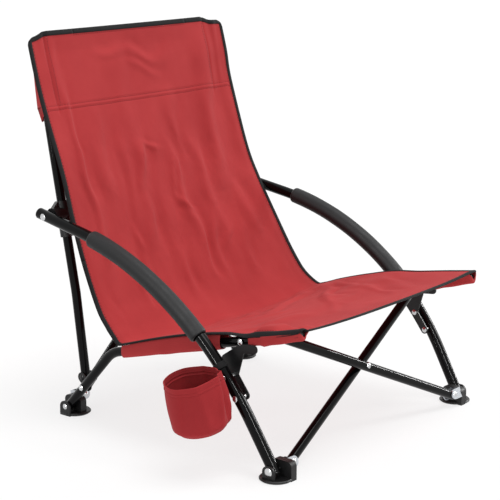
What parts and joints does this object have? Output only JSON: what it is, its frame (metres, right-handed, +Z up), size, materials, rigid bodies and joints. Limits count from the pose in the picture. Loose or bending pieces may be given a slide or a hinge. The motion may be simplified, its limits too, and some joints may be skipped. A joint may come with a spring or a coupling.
{
  "type": "folding camp chair",
  "caption": "Low folding camp chair: fabric sling on bent steel tubes, foam armrests, crossed front and rear tubes on pivoting feet, and a fabric cup holder.",
  "frame": {"origin": "centre of the whole part's bounding box in plan, on the ground", "axes": "+Z up, the front faces -Y, +X to the right as seen from the front; left and right in names are also as seen from the front"},
  "size_m": [0.659, 0.5982, 0.6507],
  "materials": {
    "gloss_black_tube": "gloss powder coat over steel tube",
    "black_plate": "gloss black pressed steel",
    "bright_steel": "zinc plated",
    "rivet_steel": "plated rivet",
    "black_plastic": "moulded, fine satin",
    "foam": "matt closed cell foam",
    "red_fabric": "woven polyester with black binding",
    "black_fabric": "woven polyester"
  },
  "bodies": {
    "left_rear_foot": {"rear_foot_left": "black_plastic", "rear_foot_bracket_left": "bright_steel", "rear_foot_rivets_left": "rivet_steel"},
    "left_seat_side": {"seat_rail_left": "gloss_black_tube", "rail_end_cap_left": "black_plastic", "rail_rivets_left": "rivet_steel", "cross_tab_left": "black_plate", "back_saddle_left": "black_plate", "sling_seat": "red_fabric"},
    "left_back": {"back_tube_left": "gloss_black_tube", "back_top_cap_left": "black_plastic", "sling_back": "red_fabric"},
    "left_hub": {"hub_left": "black_plastic", "hub_rivets_left": "rivet_steel"},
    "left_arm": {"arm_tube_left": "gloss_black_tube", "arm_grip_left": "foam", "arm_end_plug_left": "black_plastic", "arm_catch_left": "black_plate", "catch_pins_left": "rivet_steel", "cup_holder": "red_fabric", "cup_strap": "black_fabric"},
    "left_front_foot": {"front_foot_left": "black_plastic", "front_foot_bracket_left": "bright_steel", "front_foot_rivets_left": "rivet_steel"},
    "left_front_cross": {"front_cross_tube_left": "gloss_black_tube", "front_cross_rivets_left": "rivet_steel"},
    "left_rear_cross": {"rear_cross_tube_left": "gloss_black_tube", "rear_cross_rivets_left": "rivet_steel", "rear_cross_rivet": "rivet_steel"},
    "right_rear_foot": {"rear_foot_right": "black_plastic", "rear_foot_bracket_right": "bright_steel", "rear_foot_rivets_right": "rivet_steel"},
    "right_seat_side": {"seat_rail_right": "gloss_black_tube", "rail_end_cap_right": "black_plastic", "rail_rivets_right": "rivet_steel", "cross_tab_right": "black_plate", "back_saddle_right": "black_plate"},
    "right_back": {"back_tube_right": "gloss_black_tube", "back_top_cap_right": "black_plastic"},
    "right_hub": {"hub_right": "black_plastic", "hub_rivets_right": "rivet_steel"},
    "right_arm": {"arm_tube_right": "gloss_black_tube", "arm_grip_right": "foam", "arm_end_plug_right": "black_plastic", "arm_catch_right": "black_plate", "catch_pins_right": "rivet_steel"},
    "right_front_foot": {"front_foot_right": "black_plastic", "front_foot_bracket_right": "bright_steel", "front_foot_rivets_right": "rivet_steel"},
    "right_front_cross": {"front_cross_tube_right": "gloss_black_tube", "front_cross_rivets_right": "rivet_steel"},
    "right_rear_cross": {"rear_cross_tube_right": "gloss_black_tube", "rear_cross_rivets_right": "rivet_steel"}
  },
  "joints": [
    {"name": "rear_cross_fold", "type": "hinge", "parent": "left_rear_cross", "child": "right_rear_cross", "pos_m": [0.04399, 0.23402, 0.18212], "axis": [0, 0.9931, -0.1172], "range_deg": [0, 78.3], "deforming": ["sling_seat", "sling_back"]},
    {"name": "left_rear_cross_turn", "type": "hinge", "parent": "left_rear_foot", "child": "left_rear_cross", "pos_m": [-0.15701, 0.21571, 0.027], "axis": [0, 0.9931, -0.1172], "range_deg": [-39.45, 0]},
    {"name": "left_seat_side_turn", "type": "hinge", "parent": "left_rear_foot", "child": "left_seat_side", "pos_m": [-0.19601, 0.21571, 0.016], "axis": [1, 0, 0], "range_deg": [-48.63, 0]},
    {"name": "left_back_turn", "type": "hinge", "parent": "left_seat_side", "child": "left_back", "pos_m": [-0.17801, 0.1918, 0.06891], "axis": [1, 0, 0], "range_deg": [0, 56.31]},
    {"name": "left_hub_slide", "type": "slide", "parent": "left_back", "child": "left_hub", "axis": [0, 0.1908, 0.9816], "range_m": [0, 0.1776]},
    {"name": "left_arm_turn", "type": "hinge", "parent": "left_hub", "child": "left_arm", "pos_m": [-0.21601, 0.23733, 0.35024], "axis": [1, 0, 0], "range_deg": [0, 17.88]},
    {"name": "left_front_foot_turn", "type": "hinge", "parent": "left_arm", "child": "left_front_foot", "pos_m": [-0.21601, -0.25729, 0.016], "axis": [1, 0, 0], "range_deg": [-25.56, 0]},
    {"name": "left_front_cross_turn", "type": "hinge", "parent": "left_front_foot", "child": "left_front_cross", "pos_m": [-0.17401, -0.26329, 0.02], "axis": [0, 0.9538, -0.3004], "range_deg": [-49.53, 0]},
    {"name": "right_rear_foot_turn", "type": "hinge", "parent": "right_rear_cross", "child": "right_rear_foot", "pos_m": [0.24499, 0.21571, 0.027], "axis": [0, 0.9931, -0.1172], "range_deg": [-39.45, 0]},
    {"name": "right_seat_side_turn", "type": "hinge", "parent": "right_rear_foot", "child": "right_seat_side", "pos_m": [0.28399, 0.21571, 0.016], "axis": [1, 0, 0], "range_deg": [-48.63, 0]},
    {"name": "right_back_turn", "type": "hinge", "parent": "right_seat_side", "child": "right_back", "pos_m": [0.26599, 0.1918, 0.06891], "axis": [1, 0, 0], "range_deg": [0, 56.31]},
    {"name": "right_hub_slide", "type": "slide", "parent": "right_back", "child": "right_hub", "axis": [0, 0.1908, 0.9816], "range_m": [0, 0.1776]},
    {"name": "right_arm_turn", "type": "hinge", "parent": "right_hub", "child": "right_arm", "pos_m": [0.30399, 0.23733, 0.35024], "axis": [1, 0, 0], "range_deg": [0, 17.88]},
    {"name": "right_front_foot_turn", "type": "hinge", "parent": "right_arm", "child": "right_front_foot", "pos_m": [0.30399, -0.25729, 0.016], "axis": [1, 0, 0], "range_deg": [-25.56, 0]},
    {"name": "right_front_cross_turn", "type": "hinge", "parent": "right_front_foot", "child": "right_front_cross", "pos_m": [0.26199, -0.26329, 0.02], "axis": [0, 0.9538, -0.3004], "range_deg": [0, 49.53]}
  ],
  "couplings": [
    {"joint": "left_rear_cross_turn", "follows": "rear_cross_fold", "ratio": -0.5},
    {"joint": "left_seat_side_turn", "follows": "rear_cross_fold", "ratio": -0.61728},
    {"joint": "left_back_turn", "follows": "rear_cross_fold", "ratio": 0.7154},
    {"joint": "left_hub_slide", "follows": "rear_cross_fold", "m_per_rad": 0.12923},
    {"joint": "left_arm_turn", "follows": "rear_cross_fold", "ratio": 0.22449},
    {"joint": "left_front_foot_turn", "follows": "rear_cross_fold", "ratio": -0.32261},
    {"joint": "left_front_cross_turn", "follows": "rear_cross_fold", "ratio": -0.62881},
    {"joint": "right_rear_foot_turn", "follows": "rear_cross_fold", "ratio": -0.5},
    {"joint": "right_seat_side_turn", "follows": "rear_cross_fold", "ratio": -0.61728},
    {"joint": "right_back_turn", "follows": "rear_cross_fold", "ratio": 0.7154},
    {"joint": "right_hub_slide", "follows": "rear_cross_fold", "m_per_rad": 0.12923},
    {"joint": "right_arm_turn", "follows": "rear_cross_fold", "ratio": 0.22449},
    {"joint": "right_front_foot_turn", "follows": "rear_cross_fold", "ratio": -0.32261},
    {"joint": "right_front_cross_turn", "follows": "rear_cross_fold", "ratio": 0.62881}
  ]
}
